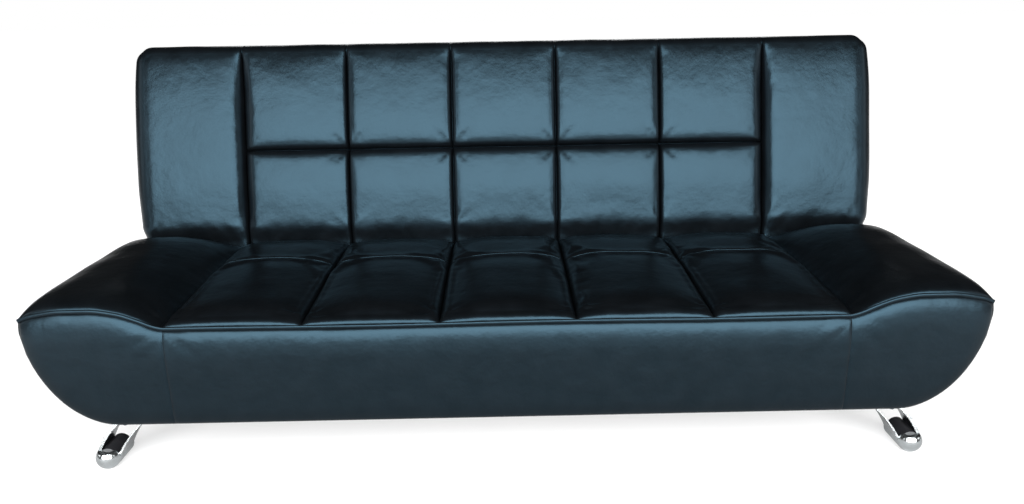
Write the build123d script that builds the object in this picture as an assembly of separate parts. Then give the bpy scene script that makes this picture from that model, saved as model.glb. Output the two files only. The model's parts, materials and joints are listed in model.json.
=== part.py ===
from build123d import *
import math
import os

# Click-clack sofa bed: a boat-shaped upholstered seat on chrome feet, with a backrest that reclines
# flat into a bed.  X runs along the sofa, Y from the front apron (Y = 0) to the rear and Z up from
# the floor.  The finished pieces are shifted at the end, so that the origin is the middle of the
# footprint on the floor.

# ---- driving dimensions, in millimetres -------------------------------------------------------
PANEL = 261.5  # pitch of the upholstered columns
SEAM_X = 2.5 * PANEL  # seam between the middle columns and an end panel
TIP_X = 922.0  # tip of the boat-shaped seat end
TIP_Z = 340.0
BEND_X = 760.0  # where the flat underside starts to curve up
HEM_Z = 122.0  # lower edge of the leather
BASE_Z = 125.0  # underside of the steel base
SEAT_Z = 325.0  # seat plane, at its seams
SEAT_DEPTH = 548.0  # apron to the foot of the backrest
SEAT_CROWN = 17.0  # height of the middle cushion above the seat plane
END_SEAM_Z = 336.0  # end panel at its inner seam
END_CREST_X = 805.0
END_CREST_Z = 370.0
APRON_TOP_Z = 320.0  # top of the apron along the middle columns
APRON_CREST_Z = 361.0

RECLINE = 15.0  # backrest angle from the vertical, as a sofa
HINGE_R = 55.0  # hinge axis below the seat plane and behind the face of the backrest
BACK_HALF = 918.5
BACK_TOP = 546.5  # top of the backrest, measured along it from the hinge axis
BACK_FOOT = 8.0
BACK_REAR = 78.5  # rear of the backrest, behind the hinge axis
BACK_PUFF = 10.0  # how far the backrest cushion stands in front of its face
CORNER_R = 45.0

LEATHER = 1.5
SKIN = 4.0  # bent plywood of the boat ends
BOARD = 16.0
DECK_Z = 305.0  # top of the wooden seat box
SEAT_GAP = 6.0  # seat box to backrest
FOAM_BOTTOM = DECK_Z + 1.0
SPRING_Z = 262.0
WIRE_R = 1.8
SPRING_TURNS = 12
SPRINGS = 5  # one behind each middle column, in the seat and in the backrest

RAIL_IN = 700.0  # base rails lie between these two
RAIL_OUT = 750.0
RAIL_H = 40.0
RAIL_FRONT = 25.0
RAIL_REAR = 795.0
WALL = 2.0
CROSSBAR_Y = 735.0

FOOT_X = 824.5  # centre of the foot's rounded end
FOOT_R = 24.0
FOOT_FLAT = 0.8  # the rounded end is flattened by this much, to stand on the floor
STRIP = 5.0  # thickness of the chrome strip
FOOT_FRONT = 48.0
FOOT_REAR = 112.0
FEET_SPAN = 824.0  # a rear foot is a front foot mirrored: y becomes this less y

PLATE = 4.0  # hinge plates
ARM_X = 712.0
RATCHET_X = ARM_X + PLATE
BRACKET_X = RATCHET_X + PLATE + 1.0
PIN_R = 7.0
PAWL_PIN_R = 5.0
RUNNING = 0.06  # radial clearance of a running fit
FIXED = 0.03
RATCHET_R = 40.0
HUB_R = 30.0
NOTCH_FLOOR_R = 34.5
NOTCH_W = 10.4
PAWL_ANGLE = 225.0  # direction of the pawl's nose from the hinge axis
BED_ANGLE = 90.0 - RECLINE
POCKET_R = RATCHET_R + 2.0
SCREW_R = 3.5
SCREW_HOLE_R = 3.6
BOLT_R = 3.9
BOLT_HOLE_R = 4.1
BOLT_HEAD_R = 7.0
BOLT_HEAD_H = 5.0

FRAME_FRONT = 40.0  # steel frame of the backrest, behind the hinge axis
FRAME_REAR = 76.0
FRAME_FOOT = 56.0
FRAME_TOP = 518.0
FRAME_H = 40.0
FRAME_HALF = 890.0
STILE_W = 30.0
ARM_FLANGE_IN = 688.0
COVER_SEAM_Y = 30.0  # seam between the front and rear covers of the backrest
PIPING_R = 3.0
PAD_H = 6.0  # felt over the springs
BUFFER_X = (250.0, 600.0)
SEAT_SPRING_PITCH = 245.0
BACK_SPRING_PITCH = 300.0
SPRING_HALF_W = 34.0

# ---- worked out from them ---------------------------------------------------------------------
tilt = math.radians(RECLINE)
HINGE_Y = SEAT_DEPTH + HINGE_R * (1 - math.sin(tilt)) / math.cos(tilt)
HINGE_Z = SEAT_Z - HINGE_R
BACK = Pos(0, HINGE_Y, HINGE_Z) * Rot(-RECLINE, 0, 0)  # backrest frame: Z up along the backrest
HINGE = Pos(0, HINGE_Y, HINGE_Z)
RAIL_TOP = BASE_Z + RAIL_H
FOOT_Z = FOOT_R - FOOT_FLAT
BED_UNDERSIDE = HINGE_Z - BACK_REAR - LEATHER
FAR = 1200.0

parts = {}


# ---- helpers ----------------------------------------------------------------------------------
def block(x0, x1, y0, y1, z0, z1):
    """Box between two corners."""
    middle = Pos((x0 + x1) / 2, (y0 + y1) / 2, (z0 + z1) / 2)
    return middle * Box(x1 - x0, y1 - y0, z1 - z0)


def along_y(outline, y0, y1):
    """Solid from an outline drawn as (x, z)."""
    return Pos(0, y1, 0) * (Plane.XZ * extrude(outline, amount=y1 - y0, dir=(0, 0, 1)))


def along_x(outline, x0, x1):
    """Solid from an outline drawn as (y, z)."""
    return Pos(x0, 0, 0) * (Plane.YZ * extrude(outline, amount=x1 - x0, dir=(0, 0, 1)))


def rod(radius, x0, x1, y=0.0, z=0.0):
    """Round bar along X."""
    return along_x(Pos(y, z) * Circle(radius), x0, x1)


def mirrored(shape):
    return mirror(shape, Plane.YZ)


def group(shapes):
    """Several separate solids in one node."""
    return Compound(children=[s for shape in shapes for s in shape.solids()])


def both_sides(shapes):
    """Pieces of the right side, with their mirror images."""
    return group(list(shapes) + [mirrored(s) for s in shapes])


def pair(name, shape):
    """A piece of the right side and its twin on the left, as two nodes."""
    parts[name + "_right"] = shape
    parts[name + "_left"] = mirrored(shape)


def trim_rear(shape, inset):
    """Cut the seat off parallel to the backrest, that far inside its rear face."""
    rear = -HINGE_R - SEAT_GAP - inset
    return shape - BACK * block(-FAR, FAR, rear, FAR, -FAR, FAR)


def zigzag(length, half_width):
    """Serpentine spring wire, from the origin along Y."""
    turns = SPRING_TURNS
    step = length / turns
    points = [(0, 0)]
    for i in range(1, turns):
        points.append((half_width if i % 2 else -half_width, (i - 0.5) * step))
        points.append((half_width if i % 2 else -half_width, (i + 0.5) * step))
    points.append((0, length))
    path = FilletPolyline(*points, radius=0.4 * step)
    section = Plane(origin=path @ 0, z_dir=path % 0) * Circle(WIRE_R)
    return sweep(section, path=path)


# ---- outlines of the seat, drawn as (x, z) ----------------------------------------------------
def boat_curve(inset):
    """Right end of the boat, from the flat underside up to the tip."""
    return EllipticalCenterArc(
        (BEND_X, TIP_Z), TIP_X - BEND_X - inset, TIP_Z - HEM_Z - inset, start_angle=270, arc_size=90
    )


def end_face(inset):
    """Section of an end panel and the boat end below it."""
    base = HEM_Z + inset
    top = ThreePointArc(
        (TIP_X - inset, TIP_Z), (END_CREST_X, END_CREST_Z - inset), (SEAM_X, END_SEAM_Z - inset)
    )
    side = Line((SEAM_X, END_SEAM_Z - inset), (SEAM_X, base))
    bottom = Line((SEAM_X, base), (BEND_X, base))
    return make_face(bottom + boat_curve(inset) + top + side)


def half_front(inset, top_z, crest_z):
    """Right half of the seat front."""
    base = HEM_Z + inset
    top = ThreePointArc((TIP_X - inset, TIP_Z), (END_CREST_X, crest_z), (SEAM_X, top_z))
    lines = Line((0, base), (BEND_X, base)) + boat_curve(inset) + top
    lines += Line((SEAM_X, top_z), (0, top_z))
    lines += Line((0, top_z), (0, base))
    return make_face(lines)


def front_face(inset, top_z, crest_z):
    half = half_front(inset, top_z, crest_z)
    return half + mirror(half, Plane.YZ)


def slope_rear(shape, drop):
    """Slope an end panel down to the seat plane in front of the backrest."""
    foot_y = SEAT_DEPTH - 12
    wedge = Polygon(
        (foot_y, SEAT_Z - 2 - drop), (foot_y - 108, SEAT_Z + 67 - drop), (FAR, SEAT_Z + 67 - drop),
        (FAR, SEAT_Z - 2 - drop), align=None
    )
    return shape - along_x(wedge, -FAR, FAR)


def below(shape, z):
    return shape & block(-FAR, FAR, -FAR, FAR, 0, z)


def above(shape, z):
    return shape - block(-FAR, FAR, -FAR, FAR, 0, z)


# ---- steel base -------------------------------------------------------------------------------
def base_rail():
    outer = block(RAIL_IN, RAIL_OUT, RAIL_FRONT, RAIL_REAR, BASE_Z, RAIL_TOP)
    inner = block(RAIL_IN + WALL, RAIL_OUT - WALL, 0, FAR, BASE_Z + WALL, RAIL_TOP - WALL)
    rail = outer - inner
    for x, y in foot_screw_places():
        rail -= Pos(x, y, BASE_Z) * Cylinder(SCREW_HOLE_R, 3 * WALL)
    for x, y in bracket_bolt_places():
        rail -= Pos(x, y, RAIL_TOP) * Cylinder(BOLT_HOLE_R, 3 * WALL)
    return rail


def rail_cap(face_y, inward):
    """Plastic plug in one end of a rail; inward is the way into the tube."""
    x0 = RAIL_IN + WALL
    x1 = RAIL_OUT - WALL
    plug_y = sorted((face_y, face_y + inward * 12))
    lip_y = sorted((face_y, face_y - inward * 3))
    plug = block(x0, x1, *plug_y, BASE_Z + WALL, RAIL_TOP - WALL)
    lip = block(RAIL_IN, RAIL_OUT, *lip_y, BASE_Z, RAIL_TOP)
    return plug + lip


def cross_tube(y0, y1, z0, z1):
    outer = block(-RAIL_IN, RAIL_IN, y0, y1, z0, z1)
    inner = block(-FAR, FAR, y0 + WALL, y1 - WALL, z0 + WALL, z1 - WALL)
    return outer - inner


def foot_screw_places():
    """Two screws down the middle of each foot plate, on the right rail."""
    middle = (RAIL_IN + RAIL_OUT) / 2
    front = [(middle, 90.0), (middle, 117.0)]
    rear = [(x, FEET_SPAN - y) for x, y in front]
    return front + rear


def bracket_bolt_places():
    return [(737.0, 530.0), (737.0, 575.0)]


def bolt(x, y, z, down):
    """Hexagon bolt whose head stands on the plane z; its shank runs down or up from there."""
    head = extrude(RegularPolygon(BOLT_HEAD_R, 6), amount=BOLT_HEAD_H)
    shank = Pos(0, 0, -5.5) * Cylinder(BOLT_R, 11)
    whole = head + shank
    if not down:
        whole = Rot(180, 0, 0) * whole
    return Pos(x, y, z) * whole


pair("base_rail", base_rail())
caps = [rail_cap(RAIL_FRONT, 1), rail_cap(RAIL_REAR, -1)]
parts["rail_end_caps"] = both_sides(caps)
parts["seat_cross_rails"] = group(
    [cross_tube(90, 120, 130, 160), cross_tube(430, 460, 130, 160)]
)
parts["rear_crossbar"] = cross_tube(CROSSBAR_Y, CROSSBAR_Y + 40, BASE_Z, RAIL_TOP)
buffer_h = BED_UNDERSIDE - 0.5 - RAIL_TOP
buffers = []
for x in BUFFER_X:
    cone = Cone(22, 16, buffer_h, align=(Align.CENTER, Align.CENTER, Align.MIN))
    buffers.append(Pos(x, CROSSBAR_Y + 20, RAIL_TOP) * cone)
parts["support_buffers"] = both_sides(buffers)


# ---- wooden seat box --------------------------------------------------------------------------
box_inset = LEATHER + SKIN
board_section = front_face(box_inset, DECK_Z, DECK_Z)
front_board = below(along_y(board_section, LEATHER, LEATHER + BOARD), DECK_Z)
parts["seat_front_board"] = front_board

rear_slab_front = -HINGE_R - SEAT_GAP - LEATHER - BOARD
rear_slab = BACK * block(-FAR, FAR, rear_slab_front, rear_slab_front + BOARD, -400, 200)
rear_board = below(along_y(board_section, 300, 700) & rear_slab, DECK_Z)
for side in (-1, 1):
    slot = sorted((side * (RAIL_IN - 1), side * (RAIL_OUT + 1)))
    rear_board -= block(*slot, 300, 700, 0, RAIL_TOP + 1)
parts["seat_rear_board"] = rear_board

board_clear = LEATHER + BOARD
rib = block(SEAM_X - BOARD, SEAM_X, board_clear, 600, RAIL_TOP + 1, DECK_Z)
pair("seat_rib", trim_rear(rib, board_clear))
deck = block(SEAM_X, TIP_X - 14, board_clear, 600, DECK_Z - 12, DECK_Z)
pair("seat_end_deck", trim_rear(deck, board_clear))

skin_ring = along_y(end_face(LEATHER), LEATHER, 700) - along_y(end_face(box_inset), 0, 800)
skin_ring -= block(0, BEND_X, 0, FAR, 0, FAR)
pair("end_skin", trim_rear(below(skin_ring, DECK_Z), LEATHER))

# ---- springs, pads and foams of the seat ------------------------------------------------------
seat_springs = []
for i in range(SPRINGS):
    wire = zigzag(483.0, SPRING_HALF_W)
    seat_springs.append(Pos((i - 2) * SEAT_SPRING_PITCH, board_clear + 3, SPRING_Z) * wire)
parts["seat_springs"] = group(seat_springs)

pad_half = SEAM_X - BOARD - 1
pad = block(-pad_half, pad_half, board_clear + 1, 600, SPRING_Z + 2, SPRING_Z + 2 + PAD_H)
parts["seat_spring_pad"] = trim_rear(pad, board_clear + 1)


def seat_cushion(grow, half):
    """Upper part of the middle cushion, rounded along its front and rear edges."""
    slab = block(-half, half, 3.3 - grow, 600, FOAM_BOTTOM, SEAT_Z + SEAT_CROWN + grow)
    slab = trim_rear(slab, LEATHER + 0.1 - grow)
    top_edges = slab.edges().filter_by(Axis.X).group_by(Axis.Z)[-1]
    return fillet(top_edges, 16 + grow)


core = block(-pad_half, pad_half, board_clear + 1, 600, SPRING_Z + 8.5, FOAM_BOTTOM)
parts["seat_foam"] = seat_cushion(0, SEAM_X - 0.5) + trim_rear(core, board_clear + 1)
parts["seat_cover"] = seat_cushion(LEATHER, SEAM_X) - seat_cushion(0, FAR)

end_foam = above(along_y(end_face(LEATHER + 0.1), 3.3, 600), FOAM_BOTTOM)
end_foam -= block(0, SEAM_X + 0.5, 0, FAR, 0, FAR)
pair("seat_end_foam", slope_rear(trim_rear(end_foam, LEATHER + 0.1), LEATHER + 0.1))


# ---- leather of the seat ----------------------------------------------------------------------
def end_cover():
    """End panel that runs over the tip and down round the boat end."""
    outer = slope_rear(trim_rear(along_y(end_face(0), LEATHER + 0.3, 700), 0), 0)
    upper = trim_rear(above(along_y(end_face(LEATHER), 3.3, 700), FOAM_BOTTOM), LEATHER)
    upper = slope_rear(upper, LEATHER)
    lower = below(along_y(end_face(LEATHER), 0, 700), FOAM_BOTTOM)
    cover = outer - upper - lower
    return cover - block(0, BEND_X, 0, FAR, 0, 200)


pair("end_cover", end_cover())
apron_face = front_face(0, APRON_TOP_Z, APRON_CREST_Z)
parts["front_apron"] = along_y(apron_face, 0, LEATHER)

rear_section = front_face(LEATHER + 0.2, DECK_Z, DECK_Z)
rear_skin = BACK * block(-FAR, FAR, -HINGE_R - SEAT_GAP - LEATHER, -HINGE_R - SEAT_GAP, -400, 200)
rear_cover = below(along_y(rear_section, 300, 700) & rear_skin, DECK_Z)
for side in (-1, 1):
    slot = sorted((side * (RAIL_IN - 1), side * (RAIL_OUT + 1)))
    rear_cover -= block(*slot, 300, 700, 0, RAIL_TOP + 1)
parts["seat_rear_cover"] = rear_cover

piping_right = [(655, 321), (720, 347), (790, 361), (860, 358), (920, 341)]
piping_left = [(-x, z) for x, z in reversed(piping_right)]
piping_path = Plane.XZ * FilletPolyline(*piping_left, *piping_right, radius=70)
piping_section = Plane(origin=piping_path @ 0, z_dir=piping_path % 0) * Circle(PIPING_R)
parts["seat_piping"] = Pos(0, -PIPING_R, 0) * sweep(piping_section, path=piping_path)

dust = block(-BEND_X, BEND_X, LEATHER + 0.5, 600, HEM_Z + 1.5, BASE_Z)
dust = trim_rear(dust, LEATHER + BOARD)
for side in (-1, 1):
    hole = sorted((side * (RAIL_IN - 8), side * (RAIL_OUT + 8)))
    dust -= block(*hole, 72, 136, 0, FAR)
parts["dust_cover"] = dust


# ---- feet -------------------------------------------------------------------------------------
def foot_outline(inset):
    """The bent strip seen from the front: a U that leans inward to its top plate."""
    radius = FOOT_R - inset
    inner_top = RAIL_IN + inset
    outer_top = RAIL_OUT - inset
    bottom = CenterArc((FOOT_X, FOOT_Z), radius, 180, 180)
    outer = ThreePointArc(
        (FOOT_X + radius, FOOT_Z), (823.0 - inset, 77.0 - inset), (outer_top, BASE_Z - inset)
    )
    top = Line((outer_top, BASE_Z - inset), (inner_top, BASE_Z - inset))
    inner = ThreePointArc(
        (inner_top, BASE_Z - inset), (768.0 + inset, 74.0 - inset / 2), (FOOT_X - radius, FOOT_Z)
    )
    return make_face(bottom + outer + top + inner)


def foot_side():
    """Front and rear edges of the strip, drawn as (y, z)."""
    return Polygon(
        (FOOT_FRONT, 0), (FOOT_FRONT, 30), (67, 93), (77, BASE_Z), (130, BASE_Z), (125, 93),
        (FOOT_REAR, 30), (FOOT_REAR, 0), align=None
    )


def foot_pieces():
    """Strip, dome cap, insert and screws of the front right foot."""
    envelope = along_x(foot_side(), 600, 1000)
    strip = along_y(foot_outline(0), 30, 150) - along_y(foot_outline(STRIP), 0, 200)
    strip &= envelope
    screws = []
    for x, y in foot_screw_places()[:2]:
        strip -= Pos(x, y, BASE_Z) * Cylinder(SCREW_HOLE_R, 4 * STRIP)
        head = Pos(x, y, BASE_Z - STRIP - 2) * Cylinder(6.5, 4)
        shank = Pos(x, y, BASE_Z) * Cylinder(SCREW_R, 2 * STRIP)
        screws.append(head + shank)
    ball = Pos(FOOT_X, FOOT_FRONT, FOOT_Z) * Sphere(FOOT_R)
    cap = ball & block(0, FAR, 0, FOOT_FRONT, 0, FOOT_R + 14)
    insert_r = FOOT_R - STRIP - 0.1
    insert = along_y(Pos(FOOT_X, FOOT_Z) * Circle(insert_r), FOOT_FRONT, FOOT_REAR)
    insert &= along_y(foot_outline(STRIP + 0.1), 0, 200)
    return strip, cap, insert, screws


strip, cap, insert, screws = foot_pieces()
swap = Plane(origin=(0, FEET_SPAN / 2, 0), z_dir=(0, 1, 0))
for piece_name, piece in (("strip", strip), ("cap", cap)):
    pair("foot_" + piece_name + "_front", piece)
    pair("foot_" + piece_name + "_rear", mirror(piece, swap))
parts["foot_inserts"] = both_sides([insert, mirror(insert, swap)])
parts["foot_screws"] = both_sides(screws + [mirror(s, swap) for s in screws])


# ---- hinge mechanism, right side --------------------------------------------------------------
def at_pawl(radial, tangent):
    """Point near the pawl, from the hinge axis: out along its nose, then square to that."""
    angle = math.radians(PAWL_ANGLE)
    y = radial * math.cos(angle) - tangent * math.sin(angle)
    z = radial * math.sin(angle) + tangent * math.cos(angle)
    return y, z


PAWL_PIVOT = at_pawl(47.0, 34.0)


def seat_bracket():
    """Plate on the base rail that carries the hinge pin and the pawl."""
    web = Polygon(
        (512, RAIL_TOP), (594, RAIL_TOP), (594, HINGE_Z), (HINGE_Y - 24, HINGE_Z + 10), (530, 230),
        align=None
    )
    boss = Pos(HINGE_Y, HINGE_Z) * Circle(26)
    plate = along_x(web + boss, BRACKET_X, BRACKET_X + PLATE)
    flange = block(BRACKET_X, RAIL_OUT - 2, 512, 594, RAIL_TOP, RAIL_TOP + PLATE)
    bracket = plate + flange
    bracket -= rod(PIN_R + FIXED, 600, 800, HINGE_Y, HINGE_Z)
    pivot_y, pivot_z = PAWL_PIVOT
    bracket -= rod(PAWL_PIN_R + FIXED, 600, 800, HINGE_Y + pivot_y, HINGE_Z + pivot_z)
    for x, y in bracket_bolt_places():
        bracket -= Pos(x, y, RAIL_TOP) * Cylinder(BOLT_HOLE_R, 4 * PLATE)
    return bracket


def arm_bolt_places():
    return [(700.0, 50.0), (700.0, 67.0)]


def back_arm():
    """Plate from the hinge pin to a flange under the backrest's bottom rail."""
    web = Polygon((-15, 16), (20, -10), (FRAME_REAR, 44), (FRAME_REAR, FRAME_FOOT),
                  (FRAME_FRONT, FRAME_FOOT), align=None)
    plate = along_x(web + Circle(22), ARM_X, ARM_X + PLATE)
    flange = block(
        ARM_FLANGE_IN, ARM_X + PLATE, FRAME_FRONT, FRAME_REAR, FRAME_FOOT - PLATE, FRAME_FOOT
    )
    arm = plate + flange
    arm -= rod(PIN_R + RUNNING, 600, 800)
    for x, y in arm_bolt_places():
        arm -= Pos(x, y, FRAME_FOOT) * Cylinder(BOLT_HOLE_R, 4 * PLATE)
    return BACK * arm


def ratchet_plate():
    """Toothed disc on the arm: sofa step, lounge notch and bed notch."""
    step = PAWL_ANGLE + 9.0
    last = PAWL_ANGLE + BED_ANGLE + 13.0
    start = (RATCHET_R * math.cos(math.radians(step)), RATCHET_R * math.sin(math.radians(step)))
    end = (RATCHET_R * math.cos(math.radians(last)), RATCHET_R * math.sin(math.radians(last)))
    rim = CenterArc((0, 0), RATCHET_R, step, last - step)
    disc = Circle(HUB_R) + make_face(Line((0, 0), start) + rim + Line(end, (0, 0)))
    for turned in (BED_ANGLE / 2, BED_ANGLE):
        depth = RATCHET_R + 2 - NOTCH_FLOOR_R
        notch = Pos(NOTCH_FLOOR_R + depth / 2, 0) * Rectangle(depth, NOTCH_W)
        disc -= Rot(0, 0, PAWL_ANGLE + turned) * notch
    plate = along_x(disc, RATCHET_X, RATCHET_X + PLATE)
    return HINGE * (plate - rod(PIN_R + RUNNING, 600, 800))


def pawl():
    """Lever whose nose drops into the ratchet's notches."""
    corners = [(40.6, -2.8), (40.6, 2.8), (46, 5), (46, 12), (42, 30), (56, 34), (54, 5), (50, -2.8)]
    body = Polygon(*[at_pawl(r, t) for r, t in corners], align=None)
    body += Pos(*PAWL_PIVOT) * Circle(9)
    body -= Pos(*PAWL_PIVOT) * Circle(PAWL_PIN_R + RUNNING)
    return HINGE * along_x(body, RATCHET_X + 0.4, BRACKET_X - 0.2)


def hinge_pin():
    head = rod(11, ARM_X - 6, ARM_X - 0.2)
    shaft = rod(PIN_R, ARM_X - 0.2, BRACKET_X + PLATE)
    collar = rod(11, BRACKET_X + PLATE, BRACKET_X + PLATE + 6)
    return HINGE * (head + shaft + collar)


def pawl_pin():
    head = rod(8, RATCHET_X - 3.8, RATCHET_X + 0.2, *PAWL_PIVOT)
    shaft = rod(PAWL_PIN_R, RATCHET_X + 0.2, BRACKET_X + PLATE + 12, *PAWL_PIVOT)
    return HINGE * (head + shaft)


def pawl_spring():
    """Close-wound torsion spring round the pawl pin, outside the bracket."""
    coils = []
    for i in range(4):
        ring = Rot(0, 90, 0) * Torus(PAWL_PIN_R + 1.5, 1.2)
        coils.append(Pos(BRACKET_X + PLATE + 1.3 + 2.0 * i, *PAWL_PIVOT) * ring)
    coil = coils[0]
    for ring in coils[1:]:
        coil += ring
    return HINGE * coil


pair("hinge_bracket", seat_bracket())
pair("hinge_back_arm", back_arm())
pair("ratchet_plate", ratchet_plate())
pair("pawl", pawl())
parts["hinge_pins"] = both_sides([hinge_pin()])
parts["pawl_pins"] = both_sides([pawl_pin()])
parts["pawl_springs"] = both_sides([pawl_spring()])
seat_bolts = [bolt(x, y, RAIL_TOP + PLATE, True) for x, y in bracket_bolt_places()]
parts["hinge_bolts_seat"] = both_sides(seat_bolts)
back_bolts = [BACK * bolt(x, y, FRAME_FOOT - PLATE, False) for x, y in arm_bolt_places()]
parts["hinge_bolts_back"] = both_sides(back_bolts)


# ---- backrest, drawn in its own frame ---------------------------------------------------------
def frame_rail(z0, z1):
    outer = block(-FRAME_HALF, FRAME_HALF, FRAME_FRONT, FRAME_REAR, z0, z1)
    inner = block(-FAR, FAR, FRAME_FRONT + WALL, FRAME_REAR - WALL, z0 + WALL, z1 - WALL)
    return outer - inner


def frame_stile(x0, x1):
    z0 = FRAME_FOOT + FRAME_H
    z1 = FRAME_TOP - FRAME_H
    outer = block(x0, x1, FRAME_FRONT, FRAME_REAR, z0, z1)
    inner = block(x0 + WALL, x1 - WALL, FRAME_FRONT + WALL, FRAME_REAR - WALL, 0, FAR)
    return outer - inner


bottom_rail = frame_rail(FRAME_FOOT, FRAME_FOOT + FRAME_H)
for x, y in arm_bolt_places():
    for side in (-1, 1):
        bottom_rail -= Pos(side * x, y, FRAME_FOOT) * Cylinder(BOLT_HOLE_R, 3 * WALL)
parts["back_bottom_rail"] = BACK * bottom_rail
parts["back_top_rail"] = BACK * frame_rail(FRAME_TOP - FRAME_H, FRAME_TOP)
pair("back_stile", BACK * frame_stile(FRAME_HALF - STILE_W, FRAME_HALF))
parts["back_mid_stiles"] = both_sides([BACK * frame_stile(PANEL - STILE_W / 2, PANEL + STILE_W / 2)])

back_springs = []
for i in range(SPRINGS):
    upright = Rot(90, 0, 0) * zigzag(FRAME_TOP - FRAME_FOOT - 10, SPRING_HALF_W)
    back_springs.append(BACK * (Pos((i - 2) * BACK_SPRING_PITCH, FRAME_FRONT - 3, FRAME_FOOT + 5) * upright))
parts["back_springs"] = group(back_springs)


def back_block(grow):
    """Outside of the backrest: rolled edges, and rounded top corners."""
    face = -HINGE_R + 4
    front = -HINGE_R - BACK_PUFF
    corners = [
        (BACK_REAR, BACK_FOOT), (face, BACK_FOOT), (face, 70), (front, 130), (front, BACK_TOP),
        (BACK_REAR, BACK_TOP)
    ]
    section = Polygon(*corners, align=None)
    section = fillet(section.vertices().group_by(Axis.Y)[-1], 28)
    section = offset(section, grow) if grow else section
    body = along_x(section, -BACK_HALF - grow, BACK_HALF + grow)
    height = BACK_TOP - BACK_FOOT + 2 * grow
    outline = Pos(0, (BACK_TOP + BACK_FOOT) / 2) * Rectangle(2 * (BACK_HALF + grow), height)
    outline = fillet(outline.vertices().group_by(Axis.Y)[-1], CORNER_R + grow)
    return body & along_y(outline, -200, 200)


def hinge_pockets():
    """Room in the upholstery for the hinges, on both sides."""
    swing = rod(POCKET_R, ARM_X - 8, RAIL_OUT + 2)
    arm_way = block(ARM_FLANGE_IN - 3, RAIL_OUT + 2, -20, 120, 0, FRAME_FOOT + 2)
    return group([swing + arm_way, mirrored(swing + arm_way)])


def behind(shape, y):
    return shape - block(-FAR, FAR, -FAR, y, -FAR, FAR)


def before(shape, y):
    return shape - block(-FAR, FAR, y, FAR, -FAR, FAR)


inside = back_block(0)
outside = back_block(LEATHER)
pockets = hinge_pockets()
back_foam = before(inside, COVER_SEAM_Y - 2)
back_pad = block(-885, 885, COVER_SEAM_Y - 1.5, COVER_SEAM_Y - 1.5 + PAD_H, 60, FRAME_TOP - 5)
shell = outside - inside
parts["back_foam"] = BACK * (back_foam - pockets)
parts["back_pad"] = BACK * back_pad
parts["back_cover_front"] = BACK * (before(shell, COVER_SEAM_Y) - pockets)
parts["back_cover_rear"] = BACK * (behind(shell, COVER_SEAM_Y) - pockets)

# ---- shift to the middle of the footprint, and write ------------------------------------------
boxes = [shape.bounding_box() for shape in parts.values()]
front_y = min(box.min.Y for box in boxes)
rear_y = max(box.max.Y for box in boxes)
SHIFT_Y = -(front_y + rear_y) / 2

os.makedirs("parts", exist_ok=True)
for name, shape in parts.items():
    export_step(Pos(0, SHIFT_Y, 0) * shape, "parts/" + name + ".step")

print("nodes", len(parts), "depth", round(rear_y - front_y, 2), "shift", round(SHIFT_Y, 3))
print("height", round(max(box.max.Z for box in boxes), 2))
print("hinge axis y, z", round(HINGE_Y + SHIFT_Y, 3), round(HINGE_Z, 3))
pivot = (HINGE_Y + PAWL_PIVOT[0] + SHIFT_Y, HINGE_Z + PAWL_PIVOT[1])
print("pawl pivot y, z", round(pivot[0], 3), round(pivot[1], 3))
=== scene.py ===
"""Looks of the click-clack sofa bed: tufted faux leather, piping, linings and chrome on the CAD frame.

All lengths are in metres, in the frame's own axes: X along the sofa, Y to the rear, Z up.
"""

import json
import math

import bmesh
import bpy
import numpy as np
from mathutils import Matrix, Vector


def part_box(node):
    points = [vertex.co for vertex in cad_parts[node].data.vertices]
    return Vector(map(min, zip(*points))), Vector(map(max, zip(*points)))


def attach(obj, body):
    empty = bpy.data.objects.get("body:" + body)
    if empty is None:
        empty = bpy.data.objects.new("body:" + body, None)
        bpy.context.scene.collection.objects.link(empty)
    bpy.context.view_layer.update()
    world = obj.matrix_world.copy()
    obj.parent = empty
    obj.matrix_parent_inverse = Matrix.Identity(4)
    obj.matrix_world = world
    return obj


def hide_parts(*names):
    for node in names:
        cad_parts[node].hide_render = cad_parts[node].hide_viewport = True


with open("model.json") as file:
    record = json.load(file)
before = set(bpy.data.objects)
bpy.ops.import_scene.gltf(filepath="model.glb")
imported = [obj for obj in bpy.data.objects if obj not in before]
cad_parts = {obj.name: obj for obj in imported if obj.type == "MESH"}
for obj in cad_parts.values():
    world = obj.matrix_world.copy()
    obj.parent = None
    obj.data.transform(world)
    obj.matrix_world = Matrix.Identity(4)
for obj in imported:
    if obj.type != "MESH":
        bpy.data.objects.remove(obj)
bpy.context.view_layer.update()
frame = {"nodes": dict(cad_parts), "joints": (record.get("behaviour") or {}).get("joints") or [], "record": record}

# ---- places read from the frame ----------------------------------------------------------------
apron_low, apron_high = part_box("front_apron")
cover_low, cover_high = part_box("seat_cover")
FRONT_Y = apron_low.y
HEM_Z = apron_low.z
TIP_X = apron_high.x
SEAM_X = cover_high.x
PANEL = SEAM_X / 2.5
recline = next(j for j in frame["joints"] if j["name"] == "back_recline")
HINGE = Vector(recline["pos_m"])
TILT = math.radians(90 + recline["range_deg"][0])
BACK_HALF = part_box("back_cover_front")[1].x
SEAMS = [(i - 2.5) * PANEL for i in range(6)]

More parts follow.
